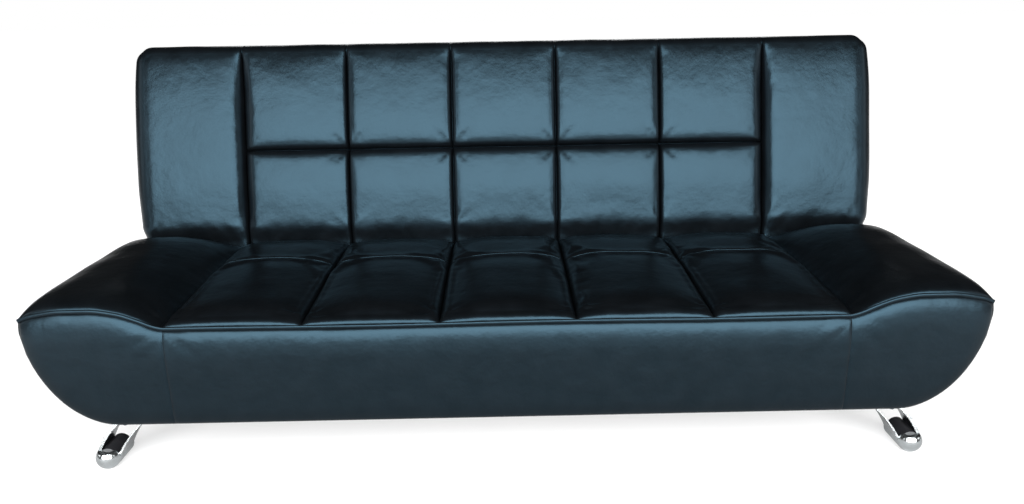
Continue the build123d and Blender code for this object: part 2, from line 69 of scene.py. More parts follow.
# ---- sizes of the seat, from the same design as the CAD ----------------------------------------
TIP_Z = 0.340  # height of the boat tips
BEND_X = 0.760  # where the boat ends start to curve up
DECK_Z = 0.305  # top of the wooden box
SEAT_Z = 0.325
SEAT_DEPTH = 0.548
SEAT_GAP = 0.006
PIPING_Z = 0.320
PIPING_Y = 0.008  # the piping lies this far behind the front
PIPING_BLEND = 0.06  # and the covers lose that set-back over this depth
CROSS_SEAM_Y = 0.340
LEATHER = 0.0015  # thickness of the leather and of the lining
LINING = 0.0006
END_HEM = 0.012
END_BULGE = 0.003
REAR_LAP = 0.0008  # the covers end this far inside the seat's rear face, under the lining

# ---- sizes of the upholstery -------------------------------------------------------------------
SEAT_PUFF = 0.036
SEAT_REAR = SEAT_DEPTH - 0.010
STITCH_DEPTH = 0.012
STITCH_WIDTH = 0.0019
KNOT_Y = 0.03  # where the column seams are pulled down behind the lip
HELD_GAP = 0.0015  # cloth nearer to a seam than this is sewn down
HELD_FRONT = 0.004  # and so are this much at the piping
HELD_REAR = 0.028  # and this much of the seat's rear tuck
WING_FREE_Y = 0.408  # the simulation holds an end panel up to this depth, and moves it only behind that
LAP_HEIGHT = 0.0045  # the rear row's leather laps over the front row's at the cross seam
LAP_LENGTH = 0.03
UNEVEN = 0.0010
APRON_BELLY = 0.0075
APRON_HEM = 0.0003
APRON_SEAM_DEPTH = 0.0022
APRON_SEAM_WIDTH = 0.0018
DECK_TUCK = 0.004  # the covers end this far below the deck

# ---- sizes of the backrest, in its own axes: from the hinge, rearward and up along it ----------
BACK_LOW = 0.0065
BACK_HIGH = 0.548
BACK_FACE = -0.055
BACK_SEAM_Y = 0.030
BACK_REAR_Y = 0.080
BACK_ROW_Z = 0.281
BACK_KNOT_Z = 0.085  # where the column seams are pulled down above the seat
BACK_PUFF = 0.012
BACK_BARREL = 0.005
BACK_ROLL = 0.026
BACK_CORNER = 0.040
REAR_ROLL = 0.014
BACK_SLIT = 0.024  # depth of the sewn seams
BACK_VALLEY = 0.012  # extra hollow beside the two end panels
BACK_PINCH = 0.007  # extra hollow where seams cross
BACK_SINK = 0.010  # how far the foot draws back behind the seat
BACK_HALF_Z = (BACK_HIGH - BACK_LOW) / 2
BACK_MIDDLE_Z = (BACK_HIGH + BACK_LOW) / 2
BACK_SIDE = BACK_SEAM_Y - BACK_FACE - BACK_ROLL
ROW_V = BACK_ROW_Z - BACK_MIDDLE_Z
HINGE_CUT_X = (0.684, 0.753)
HINGE_CUT_Y = -0.043
HINGE_CUT_Z = 0.058

CLOTH_FRAMES = 20
CLOTH_PRESSURE = 4.0
COARSE_STEP = 0.010  # grid of the simulated cloth
FINE_STEP = 0.006  # grid of the finished leather


# ---- mesh helpers ------------------------------------------------------------------------------
def piece_from_grid(name, points, skip=None, flip=False):
    """Quad mesh from an array of points (rows, columns, 3); skip marks quads that are left out."""
    rows, cols = points.shape[:2]
    index = np.arange(rows * cols).reshape(rows, cols)
    corners = (index[:-1, :-1], index[1:, :-1], index[1:, 1:], index[:-1, 1:])
    quads = np.stack(corners, axis=-1)
    if flip:
        quads = quads[..., ::-1]
    keep = np.ones(quads.shape[:2], bool) if skip is None else ~skip
    mesh = bpy.data.meshes.new(name)
    mesh.from_pydata(points.reshape(-1, 3).tolist(), [], quads[keep].tolist())
    mesh.validate()
    made = bpy.data.objects.new(name, mesh)
    bpy.context.scene.collection.objects.link(made)
    drop_loose(made)
    mesh.polygons.foreach_set("use_smooth", [True] * len(mesh.polygons))
    return made


def drop_loose(obj):
    """Remove vertices that no face uses."""
    work = bmesh.new()
    work.from_mesh(obj.data)
    loose = [v for v in work.verts if not v.link_faces]
    bmesh.ops.delete(work, geom=loose, context="VERTS")
    work.to_mesh(obj.data)
    work.free()


def thicken(obj, thickness):
    """Leather has a back: the sheet grows inward."""
    made = obj.modifiers.new("solidify", "SOLIDIFY")
    made.thickness = thickness
    made.offset = -1.0
    made.use_rim = True


def spaced(stops, step, ease=0.0):
    """Values that pass through each stop, about step apart; ease crowds them near the stops."""
    values = [stops[0]]
    for a, b in zip(stops[:-1], stops[1:]):
        count = max(2, int(round((b - a) / step)))
        s = np.linspace(0, 1, count + 1)[1:]
        s = (1 - ease) * s + ease * (1 - np.cos(np.pi * s)) / 2
        values.extend((a + (b - a) * s).tolist())
    return np.array(values)


def beside(values, seams):
    """Add places close to each seam, so that its fold stays narrow, and drop the ones that crowd them."""
    near = [seam + off for seam in seams for off in (-0.0030, -0.0010, 0.0010, 0.0030)]
    crowded, on_seam = 0.0045, 1e-6
    kept = []
    for value in values:
        gap = min(abs(value - seam) for seam in seams)
        if gap > crowded or gap < on_seam:
            kept.append(value)
    return np.array(sorted(kept + near))


def both_ways(half):
    """Places on both sides of zero, from the ones that start at zero."""
    return np.concatenate([-half[:0:-1], half])


def middles(values):
    """Middle of each quad of a grid of values."""
    return (values[:-1, :-1] + values[1:, 1:]) / 2


def smooth(x, low, high):
    t = np.clip((x - low) / (high - low), 0, 1)
    return t * t * (3 - 2 * t)


def pillow(distance, reach, power=2.6):
    """Rise of a puff away from its seam: steep at the seam, level at the crown."""
    t = np.clip(distance / reach, 0, 1)
    return (1 - (1 - t) ** power) ** (1 / power)


def curve_through(x, knots):
    """Monotone cubic through a few (x, value) knots."""
    kx = np.array([k[0] for k in knots], float)
    ky = np.array([k[1] for k in knots], float)
    h = np.diff(kx)
    slope = np.diff(ky) / h
    m = np.zeros(len(kx))
    for i in range(1, len(kx) - 1):
        if slope[i - 1] * slope[i] > 0:
            m[i] = 2 * slope[i - 1] * slope[i] / (slope[i - 1] + slope[i])
    m[0] = slope[0]
    m[-1] = slope[-1]
    x = np.clip(x, kx[0], kx[-1])
    i = np.clip(np.searchsorted(kx, x, side="right") - 1, 0, len(h) - 1)
    t = (x - kx[i]) / h[i]
    a = (1 + 2 * t) * (1 - t) ** 2
    b = t * (1 - t) ** 2
    c = t * t * (3 - 2 * t)
    d = t * t * (t - 1)
    return a * ky[i] + b * h[i] * m[i] + c * ky[i + 1] + d * h[i] * m[i + 1]


def waves(seed, x, y, length, count=10):
    """Smooth unevenness between -1 and 1, from a few plane waves."""
    source = np.random.default_rng(seed)
    total = np.zeros(np.broadcast(x, y).shape)
    for _ in range(count):
        angle = source.uniform(0, 2 * math.pi)
        k = 2 * math.pi / (length * source.uniform(0.7, 1.6))
        total = total + np.sin(k * (x * math.cos(angle) + y * math.sin(angle)) + source.uniform(0, 6.28))
    return total / count * 1.6


def pucker(u, v, points, reach, count, size, seed):
    """Small folds that radiate from points where the leather is pulled down."""
    source = np.random.default_rng(seed)
    total = np.zeros_like(u)
    for pu, pv in points:
        r = np.hypot(u - pu, v - pv)
        angle = np.arctan2(v - pv, u - pu)
        first = np.cos(count * angle + source.uniform(0, 6.28) + r * source.uniform(-20, 20))
        second = np.cos((count + 3) * angle + source.uniform(0, 6.28))
        total += (first + 0.5 * second) * np.exp(-(r / reach) ** 2) * smooth(r, 0.004, 0.022)
    return size * total


def gathers(gap, along, length, reach, size, seed):
    """Short folds square to a seam, where the thread draws the leather in."""
    phase = 6.0 * waves(seed, along, gap * 0.3, 0.35)
    ripple = np.sin(2 * math.pi * along / length + phase)
    return size * ripple * np.exp(-gap / reach) * smooth(gap, 0.0, 0.006)


def column_gap(x):
    """Distance to the nearest seam between columns."""
    return np.abs((x / PANEL + 0.5) - np.round(x / PANEL + 0.5)) * PANEL


# ---- cloth simulation --------------------------------------------------------------------------
def held_cloth(points, held, flip, slack=0.012, cap=0.006):
    """How far a cloth sheet moves when it is held at its seams and swells; slack gives the creases."""
    sheet = piece_from_grid("cloth_trial", points, flip=flip)
    group = sheet.vertex_groups.new(name="held")
    group.add(np.flatnonzero(held.reshape(-1)).tolist(), 1.0, "REPLACE")
    cloth = sheet.modifiers.new("cloth", "CLOTH")
    settings = cloth.settings
    settings.quality = 5
    settings.mass = 0.3
    settings.tension_stiffness = 30
    settings.compression_stiffness = 30
    settings.shear_stiffness = 12
    settings.bending_stiffness = 1.5
    settings.vertex_group_mass = "held"
    settings.use_pressure = True
    settings.uniform_pressure_force = CLOTH_PRESSURE
    settings.shrink_min = -slack
    settings.effector_weights.gravity = 0
    cloth.collision_settings.use_collision = False
    for frame_number in range(1, CLOTH_FRAMES + 1):
        bpy.context.scene.frame_set(frame_number)
    graph = bpy.context.evaluated_depsgraph_get()
    swollen = sheet.evaluated_get(graph).data
    places = np.empty(len(swollen.vertices) * 3)
    swollen.vertices.foreach_get("co", places)
    moved = places.reshape(points.shape) - points
    bpy.context.scene.frame_set(1)
    bpy.data.objects.remove(sheet)
    length = np.linalg.norm(moved, axis=-1, keepdims=True)
    return moved * np.tanh(length / cap) * cap / np.maximum(length, 1e-9)


def spread_moves(moves, coarse_a, coarse_b, fine_a, fine_b):
    """Moves of a coarse grid read at the places of a fine one."""
    along = np.stack([
        np.stack([np.interp(fine_a, coarse_a, moves[:, j, k]) for j in range(len(coarse_b))], axis=1)
        for k in range(3)
    ], axis=-1)
    return np.stack([
        np.stack([np.interp(fine_b, coarse_b, along[i, :, k]) for i in range(len(fine_a))], axis=0)
        for k in range(3)
    ], axis=-1)


# ---- outlines shared by the seat's pieces ------------------------------------------------------
# Height of the end panel from its inner seam (0) to the tip (1): along the piping, in mid depth, at the rear.
WING_FRONT = [
    (0, 0.3185), (0.06, 0.323), (0.17, 0.3365), (0.32, 0.3505), (0.50, 0.3575), (0.69, 0.3575),
    (0.86, 0.3520), (0.96, 0.3455), (1, 0.340),
]
WING_MIDDLE = [
    (0, 0.322), (0.08, 0.340), (0.20, 0.360), (0.38, 0.377), (0.55, 0.384), (0.74, 0.382),
    (0.89, 0.374), (0.965, 0.363), (1, 0.350),
]
WING_REAR = [
    (0, 0.321), (0.15, 0.323), (0.35, 0.325), (0.52, 0.326), (0.72, 0.328), (0.88, 0.334), (1, 0.340),
]


def piping_height(x):
    """Height of the seam line along the front of the seat."""
    share = np.clip((np.abs(x) - SEAM_X) / (TIP_X - SEAM_X), 0, 1)
    sag = 0.0010 * np.sin(x * 9.0 + 0.8) * (1 - smooth(share, 0, 0.2))
    return curve_through(share, WING_FRONT) + sag


def boat_half_width(z):
    """Half width of the boat-shaped front at a height."""
    drop = np.clip((TIP_Z - z) / (TIP_Z - HEM_Z), 0, 1)
    return BEND_X + (TIP_X - BEND_X) * np.sqrt(1 - drop ** 2)


def boat_bottom(x):
    """Lower edge of the boat-shaped front at a place along the sofa."""
    share = np.clip((np.abs(x) - BEND_X) / (TIP_X - BEND_X), 0, 1)
    return TIP_Z - (TIP_Z - HEM_Z) * np.sqrt(1 - share ** 2)


def seat_rear_y(z):
    """Rear face of the seat, parallel to the backrest, from the apron."""
    return SEAT_DEPTH + (z - SEAT_Z) * math.tan(TILT) - SEAT_GAP / math.cos(TILT)


# ---- seat columns ------------------------------------------------------------------------------
def seat_rise(y):
    """Share of the crown along the depth: front lip, cross seam dip, rear tuck."""
    lip_depth, tuck_depth = 0.10, 0.12
    fold_width, hollow_width = 0.008, 0.05
    lip = pillow(y, lip_depth, 2.4)
    behind = y - CROSS_SEAM_Y
    fold = 0.13 * np.exp(-(behind / fold_width) ** 2)
    hollow = 0.10 * np.exp(-(behind / hollow_width) ** 2)
    seam = 1 - fold - hollow
    tuck = pillow(SEAT_REAR - y, tuck_depth, 2.0)
    return lip * seam * tuck


def seat_surface(xs, ys):
    """Top of the five middle columns, and the places where it is sewn down."""
    x, y = np.meshgrid(xs, ys, indexing="ij")
    gap = column_gap(x)
    across = pillow(gap, PANEL / 2, 2.3)
    level = piping_height(x) + (SEAT_Z - PIPING_Z) * smooth(y, 0, 0.3)
    rise = seat_rise(y)
    z = level + SEAT_PUFF * across * rise
    z = z - STITCH_DEPTH * np.exp(-gap / STITCH_WIDTH) * smooth(y, 0.0, 0.02)
    z = z + UNEVEN * waves(3, x, y, 0.14) * across * np.clip(rise * 1.3, 0, 1)
    knots = [(seam, CROSS_SEAM_Y) for seam in SEAMS] + [(seam, KNOT_Y) for seam in SEAMS]
    folds = pucker(x, y, knots, reach=0.045, count=7, size=0.0011, seed=41)
    folds = folds + gathers(gap, y, length=0.034, reach=0.016, size=0.0007, seed=43)
    z = z + folds * smooth(y, 0.004, KNOT_Y)
    lap_fade = np.exp(-np.clip(y - CROSS_SEAM_Y, 0, None) / LAP_LENGTH)
    lap = smooth(y, CROSS_SEAM_Y - 0.004, CROSS_SEAM_Y) * lap_fade
    z = z + LAP_HEIGHT * lap * across
    set_back = PIPING_Y * (1 - smooth(y, 0, PIPING_BLEND))
    held = (gap < HELD_GAP) | (y < HELD_FRONT) | (y > SEAT_REAR - HELD_REAR)
    held = held | (np.abs(y - CROSS_SEAM_Y) < 2 * HELD_GAP)
    return np.stack([x, FRONT_Y + y + set_back, z], axis=-1), held


def seat_columns():
    """Five tufted columns between the end panels."""
    coarse_x = spaced(SEAMS, COARSE_STEP)
    coarse_y = spaced([0, CROSS_SEAM_Y, SEAT_REAR], COARSE_STEP)
    coarse, held = seat_surface(coarse_x, coarse_y)
    moves = held_cloth(coarse, held, True)
    xs = beside(spaced(SEAMS, FINE_STEP, 0.45), SEAMS)
    lip = 0.045
    behind_lip = spaced([lip, CROSS_SEAM_Y, SEAT_REAR], 0.0065, 0.3)[1:]
    ys = np.concatenate([lip * np.linspace(0, 1, 16) ** 2, behind_lip])
    ys = beside(ys, [CROSS_SEAM_Y])
    points, _ = seat_surface(xs, ys)
    points = points + spread_moves(moves, coarse_x, coarse_y, xs, ys)
    return close_rear(points)


def close_rear(points):
    """Extra rows that turn down between the seat and the backrest."""
    last = points[:, -1]
    rows = [points]
    for drop in (0.006, 0.014, 0.024, 0.034, 0.046):
        row = last.copy()
        row[:, 2] = np.maximum(last[:, 2] - drop, DECK_Z - DECK_TUCK)
        rounding = 0.005 * math.exp(-drop / 0.008)
        row[:, 1] = FRONT_Y + seat_rear_y(row[:, 2]) - REAR_LAP - rounding
        rows.append(row[:, None])
    return np.concatenate(rows, axis=1)


def cross_seam(start):
    """Line of the raised seam across one seat column, just in front of the lap."""
    short, before, above = 0.010, 0.002, 0.0010
    xs = np.linspace(start + short, start + PANEL - short, 40)
    line, _ = seat_surface(xs, np.array([CROSS_SEAM_Y - before]))
    return line[:, 0] + np.array([0, 0, above])


# ---- end panels --------------------------------------------------------------------------------
def wing_row(y, share, angles):
    """One line across an end panel: over the wing, down round the boat end, and under to its hem."""
    lip_depth, tuck_depth = 0.14, 0.18
    depth = np.array(y)
    front, middle, rear = (curve_through(share, knots) for knots in (WING_FRONT, WING_MIDDLE, WING_REAR))
    lip = float(pillow(depth, lip_depth, 2.2))
    tuck = float(pillow(SEAT_REAR - depth, tuck_depth, 2.0))
    z = (front * (1 - lip) + middle * lip) * tuck + rear * (1 - tuck)
    set_back = PIPING_Y * (1 - float(smooth(depth, 0, PIPING_BLEND)))
    top = np.stack([SEAM_X + (TIP_X - SEAM_X) * share, np.full_like(share, y + set_back), z], axis=-1)
    # The boat end: an arc from the tip down to the bend, drawn in a little at the front edge.
    inset = 0.004 * (1 - float(pillow(depth, 0.012, 2.0)))
    low_x = BEND_X + (TIP_X - BEND_X - inset) * np.cos(angles)
    low_z = TIP_Z - (TIP_Z - HEM_Z - inset) * np.sin(angles) + (z[-1] - TIP_Z) * np.cos(angles) ** 2
    to_edge = np.array(min(y, SEAT_DEPTH - y))
    bulge = END_BULGE * np.sin(2 * angles) * float(pillow(to_edge, 0.05))
    low_x = low_x + bulge * np.cos(angles)
    low_z = low_z - bulge * np.sin(angles)
    reveal = set_back * (1 - smooth(angles, 0, 0.16)) - 0.0002
    low_y = reveal + y * (seat_rear_y(low_z) - 0.002) / SEAT_REAR
    low = np.stack([low_x, low_y, low_z], axis=-1)
    hem = [[BEND_X - END_HEM / 2, low_y[-1], HEM_Z], [BEND_X - END_HEM, low_y[-1], HEM_Z + LEATHER]]
    return np.concatenate([top, low, np.array(hem)])


def wing_closing(last, tops, angles):
    """Rows that turn an end panel in over the rear of the seat box."""
    on_top = slice(0, tops)
    on_side = slice(tops, tops + len(angles))
    rows = []
    for turned in (0.12, 0.35, 0.65, 1.0):
        row = last.copy()
        row[on_top, 2] += (DECK_Z - DECK_TUCK - last[on_top, 2]) * turned
        row[on_top, 0] = np.minimum(last[on_top, 0], boat_half_width(row[on_top, 2]) - 0.001)
        row[on_side, 0] -= END_HEM * turned * np.cos(angles)
        row[on_side, 2] += END_HEM * turned * np.sin(angles)
        row[:, 1] = seat_rear_y(row[:, 2]) - REAR_LAP
        row[on_top, 1] -= 0.009 * (1 - turned) ** 2
        rows.append(row)
    return rows


def end_panel(side):
    """Wing that rises over the tip and runs down round the boat end."""
    share = spaced([0, 0.5, 0.9, 1.0], 0.022)
    by_seam = 0.10
    share = np.concatenate([by_seam * np.linspace(0, 1, 8) ** 1.5, share[share > by_seam + 0.005]])
    angles = np.linspace(0, math.pi / 2, 26)[1:]
    by_front = 0.08
    depths = np.concatenate([by_front * np.linspace(0, 1, 14) ** 2, np.linspace(by_front, 1, 72)[1:]])
    rows = [wing_row(y, share, angles) for y in depths * SEAT_REAR]
    rows = rows + wing_closing(rows[-1], len(share), angles)
    points = np.array(rows).transpose(1, 0, 2)
    x, y = points[..., 0], points[..., 1]
    on_top = np.arange(len(points))[:, None] < len(share)
    gap = x - SEAM_X
    folds = gathers(gap, y, length=0.036, reach=0.018, size=0.0007, seed=71)
    folds = folds + pucker(x, y, [(SEAM_X, KNOT_Y)], reach=0.05, count=7, size=0.0012, seed=73)
    points[..., 2] += (0.0009 * waves(5, x * 1.3, y, 0.15) + folds) * smooth(y, 0.0, 0.05) * on_top
    points[..., 2] -= STITCH_DEPTH * np.exp(-gap / STITCH_WIDTH) * smooth(y, 0.0, 0.03) * on_top
    held = ~on_top | (gap < HELD_GAP) | (y < WING_FREE_Y)
    points[..., 0] *= side
    points[..., 1] += FRONT_Y
    return points + held_cloth(points, held, side > 0, slack=0.015)


# ---- apron and linings -------------------------------------------------------------------------
def apron():
    """Front panel: boat-shaped outline, slightly padded, with a vertical seam near each end."""
    half = spaced([0, SEAM_X, BEND_X, 0.90, TIP_X - 0.001], 0.008)
    xs = beside(both_ways(half), [-SEAM_X, SEAM_X])
    vs = np.concatenate([[0, 0.012, 0.03, 0.06], np.linspace(0.1, 0.9, 22), [0.94, 0.97, 0.988, 1.0]])
    x, v = np.meshgrid(xs, vs, indexing="ij")
    low = boat_bottom(x)
    high = piping_height(x) - 0.002
    z = low + (high - low) * v
    side = np.clip(boat_half_width(z) - np.abs(x), 0, None)
    low_edge = np.minimum(z - low, side)
    hem_reach, roll_reach = 0.035, 0.060
    tight = pillow(low_edge, hem_reach, 2.0)
    belly = APRON_BELLY * tight + APRON_HEM * (1 - tight)
    roll = pillow(high - z, roll_reach, 2.0)
    y = PIPING_Y * (1 - roll) - belly * roll
    edge = np.minimum(low_edge, high - z)
    seam = np.exp(-np.abs(np.abs(x) - SEAM_X) / APRON_SEAM_WIDTH)
    y = y + APRON_SEAM_DEPTH * seam * pillow(edge, 0.04)
    y = y - 0.0009 * waves(8, x, z, 0.30) * pillow(edge, 0.05)
    knots = [(-SEAM_X, PIPING_Z - 0.004), (SEAM_X, PIPING_Z - 0.004)]
    folds = pucker(x, z, knots, reach=0.05, count=9, size=0.0012, seed=61)
    y = y - folds * pillow(edge, 0.02)
    return np.stack([x, FRONT_Y + y, z], axis=-1)


def rear_lining():
    """Thin cloth stapled over the rear of the seat box, cut out round the base rails."""
    rail_low, rail_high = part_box("base_rail_right")
    clear = 0.001
    cut_in = rail_low.x - clear
    cut_out = rail_high.x + clear
    cut_top = rail_high.z + clear
    zs = spaced([HEM_Z + 0.002, cut_top, DECK_Z], 0.010)
    half = spaced([0, cut_in, cut_out, TIP_X], 0.012)
    z, place = np.meshgrid(zs, both_ways(half), indexing="ij")
    beyond = np.clip(np.abs(place) - cut_out, 0, None) / (TIP_X - cut_out)
    x = np.minimum(np.abs(place), cut_out) + beyond * (boat_half_width(z) - 0.004 - cut_out)
    x = x * np.sign(place)
    slack = pillow(np.minimum(z - HEM_Z, DECK_Z - z), 0.05)
    y = seat_rear_y(z) - 0.0004 + (0.0006 + 0.0004 * waves(81, x, z * 3, 0.16)) * slack
    centre_x = np.abs(middles(x))
    skip = (centre_x > cut_in) & (centre_x < cut_out) & (middles(z) < cut_top)
    return np.stack([x, FRONT_Y + y, z], axis=-1), skip


def dust_lining():
    """Thin cloth stapled under the seat box, with openings for the front feet."""
    front, rear = 0.003, 0.455
    cut_in, cut_out = 0.692, 0.758
    cut_front, cut_rear = 0.072, 0.136
    xs = spaced([-BEND_X, -cut_out, -cut_in, 0, cut_in, cut_out, BEND_X], 0.014)
    ys = spaced([front, cut_front, cut_rear, rear], 0.014)
    x, y = np.meshgrid(xs, ys, indexing="ij")
    inside = np.minimum(np.minimum(y - front, rear - y), BEND_X - np.abs(x))
    slack = pillow(inside, 0.06)
    z = HEM_Z + 0.0022 - 0.0022 * slack + 0.0007 * waves(83, x, y, 0.14) * slack
    centre_x, centre_y = np.abs(middles(x)), middles(y)
    skip = (centre_x > cut_in) & (centre_x < cut_out) & (centre_y > cut_front) & (centre_y < cut_rear)
    return np.stack([x, FRONT_Y + y, z], axis=-1), skip


# ---- backrest ----------------------------------------------------------------------------------
def to_frame(points):
    """From the backrest's own axes (x, rearward, up along it, from the hinge) to the frame."""
    turn = np.array(Matrix.Rotation(-TILT, 3, "X"))
    return points @ turn.T + np.array(HINGE)


def rolled(u, v, half_x, half_z, roll, corner, side):
    """Panel whose edges roll over: place in its plane, depth behind its face, and outward direction."""
    quarter = roll * math.pi / 2
    band = quarter + side
    reach = corner - roll + band
    edge_u = half_x - roll + band - reach
    edge_v = half_z - roll + band - reach
    p = (np.abs(u) - edge_u) / reach
    q = (np.abs(v) - edge_v) / reach
    in_corner = (p > 0) & (q > 0)
    big = np.maximum(np.maximum(p, q), 1e-9)
    turn = np.where(p >= q, math.pi / 4 * q / big, math.pi / 2 - math.pi / 4 * p / big)
    turn = np.where(in_corner, turn, np.where(p > q, 0.0, math.pi / 2))
    out_x = np.cos(turn) * np.sign(u)
    out_z = np.sin(turn) * np.sign(v)
    outside = np.where(in_corner, big * reach, np.maximum(np.abs(u) - edge_u, np.abs(v) - edge_v))
    past = outside - (corner - roll)
    bend = np.clip(past / roll, 0, math.pi / 2)
    depth = np.where(past > 0, roll * (1 - np.cos(bend)) + np.clip(past - quarter, 0, None), 0)
    radial = np.where(past > 0, corner - roll + roll * np.sin(bend), past + corner - roll)
    x = np.where(in_corner, (half_x - corner) * np.sign(u) + radial * out_x, u)
    z = np.where(in_corner, (half_z - corner) * np.sign(v) + radial * out_z, v)
    over_side = (~in_corner) & (p > q) & (past > 0)
    over_end = (~in_corner) & (p <= q) & (past > 0)
    x = np.where(over_side, (half_x - corner + radial) * np.sign(u), x)
    z = np.where(over_end, (half_z - corner + radial) * np.sign(v), z)
    normal = np.stack([out_x * np.sin(bend), -np.cos(bend), out_z * np.sin(bend)], axis=-1)
    return x, z, depth, normal, past


def back_relief(u, v, height, seam_gap, row_gap):
    """How far the tufted face stands out: puffs between the seams, less the seams themselves."""
    in_middle = np.abs(u) < SEAM_X
    near_top = smooth(v, BACK_HALF_Z - 0.06, BACK_HALF_Z + 0.005)
    across = pillow(seam_gap, PANEL / 2, 2.7)
    across = 1 - (1 - across) * (1 - 0.65 * near_top)
    side_gap = BACK_HALF + 0.012 - np.abs(u)
    side_reach, row_reach, crown_reach = 0.075, 0.13, 0.18
    across = np.where(in_middle, across, across * pillow(side_gap, side_reach))
    along = np.where(in_middle, pillow(row_gap, row_reach), 1.0)
    crown = pillow(BACK_HALF_Z + 0.02 - v, crown_reach, 2.2)
    barrel = BACK_BARREL * np.clip(1 - (v / BACK_HALF_Z) ** 2, 0, 1)
    out = (BACK_PUFF * across * along + barrel) * crown - 0.010 * (1 - crown)
    out = out + UNEVEN * waves(21, u, v, 0.16) * across * along
    knots = [(seam, BACK_KNOT_Z - BACK_MIDDLE_Z) for seam in SEAMS]
    folds = pucker(u, v, knots, reach=0.055, count=7, size=0.0009, seed=51)
    folds = folds + gathers(seam_gap, v, length=0.036, reach=0.018, size=0.0002, seed=53)
    out = out + folds * smooth(BACK_HALF_Z - np.abs(v), -0.005, 0.04)
    low = smooth(height, 0.054, 0.092) * (0.60 + 0.40 * smooth(height, 0.07, 0.20))
    sink = BACK_SINK * smooth(height, 0.012, 0.035) * (1 - smooth(height, 0.030, 0.095))
    seam_width, row_width, valley_width = 0.0015, 0.0016, 0.013
    slit = np.maximum(np.exp(-seam_gap / seam_width) * (1 - near_top), np.exp(-row_gap / row_width))
    valley_ends = smooth(v, BACK_HALF_Z - 0.01, BACK_HALF_Z - 0.15)
    valley_ends = valley_ends * smooth(v, -BACK_HALF_Z + 0.02, -BACK_HALF_Z + 0.14)
    valley = BACK_VALLEY * np.exp(-((np.abs(u) - SEAM_X) / valley_width) ** 2) * valley_ends
    pinch_width, pinch_height = 0.034, 0.013
    pinch = np.zeros_like(u)
    for seam in SEAMS[1:-1]:
        pinch = pinch + np.exp(-((u - seam) / pinch_width) ** 2 - ((v - ROW_V) / pinch_height) ** 2)
    return out * low - sink - BACK_SLIT * slit - valley - BACK_PINCH * pinch


def back_surface(us, vs):
    """Tufted face of the backrest at places measured over its surface, in its own axes, and its seams."""
    u, v = np.meshgrid(us, vs, indexing="ij")
    x, z, depth, normal, past = rolled(u, v, BACK_HALF, BACK_HALF_Z, BACK_ROLL, BACK_CORNER, BACK_SIDE)
    in_middle = np.abs(u) < SEAM_X
    seam_gap = np.where(in_middle, column_gap(u), np.abs(u) - SEAM_X)
    row_gap = np.where(in_middle, np.abs(v - ROW_V), 1.0)
    base = np.stack([x, BACK_FACE + depth, z + BACK_MIDDLE_Z], axis=-1)
    out = back_relief(u, v, z + BACK_MIDDLE_Z, seam_gap, row_gap)
    out = np.where(normal[..., 1] < -0.2, out, 0.0)
    held = (seam_gap < HELD_GAP) & (v < BACK_HALF_Z) | (row_gap < HELD_GAP)
    held = held | (past > -0.006) | (z < -BACK_HALF_Z + 0.05)
    return base + normal * out[..., None], held


def back_stops():
    """Ends, rolls and seams of the backrest's surface, across it and up it."""
    band = BACK_ROLL * math.pi / 2 + BACK_SIDE
    flat_u = BACK_HALF - BACK_ROLL
    flat_v = BACK_HALF_Z - BACK_ROLL
    across = [-flat_u - band, -flat_u] + SEAMS + [flat_u, flat_u + band]
    return across, [-flat_v - band, -flat_v, ROW_V, flat_v, flat_v + band]


def back_front():
    """Tufted front of the backrest, rolled over its edges to the seam at the rear."""
    across, up = back_stops()
    coarse_u = spaced(across, COARSE_STEP)
    coarse_v = spaced(up, COARSE_STEP)
    coarse, held = back_surface(coarse_u, coarse_v)
    moves = held_cloth(coarse, held, False, slack=0.005, cap=0.0014)
    us = beside(spaced(across, FINE_STEP, 0.45), SEAMS)
    vs = beside(spaced(up, FINE_STEP, 0.3), [ROW_V])
    points, _ = back_surface(us, vs)
    points = points + spread_moves(moves, coarse_u, coarse_v, us, vs)
    return to_frame(points), hinge_notch(points)


def hinge_notch(points):
    """Quads that would lie in the way of the hinge arms."""
    x, y, z = (middles(points[..., k]) for k in range(3))
    in_reach = (np.abs(x) > HINGE_CUT_X[0]) & (np.abs(x) < HINGE_CUT_X[1])
    return in_reach & (z < HINGE_CUT_Z) & (y > HINGE_CUT_Y)


def back_rear():
    """Plain rear cover of the backrest, with one seam down its middle."""
    side = BACK_REAR_Y - BACK_SEAM_Y - REAR_ROLL
    band = REAR_ROLL * math.pi / 2 + side
    flat_u = BACK_HALF - REAR_ROLL
    flat_v = BACK_HALF_Z - REAR_ROLL
    cut_in, cut_out = HINGE_CUT_X[0] + 0.001, HINGE_CUT_X[1] - 0.001
    stops = [flat_u, flat_u + band]
    us = spaced([-flat_u - band, -flat_u, -cut_out, -cut_in, cut_in, cut_out] + stops, 0.010)
    vs = spaced([-flat_v - band, -flat_v, flat_v, flat_v + band], 0.010)
    u, v = np.meshgrid(us, vs, indexing="ij")
    x, z, depth, _, past = rolled(u, v, BACK_HALF, BACK_HALF_Z, REAR_ROLL, BACK_CORNER, side)
    seam = 0.002 * np.exp(-(u / 0.004) ** 2)
    out = 0.0015 * waves(31, u, v, 0.2) * (past < 0) - seam * (past < 0)
    points = np.stack([x, BACK_REAR_Y - depth + out, z + BACK_MIDDLE_Z], axis=-1)
    return to_frame(points), hinge_notch(points)


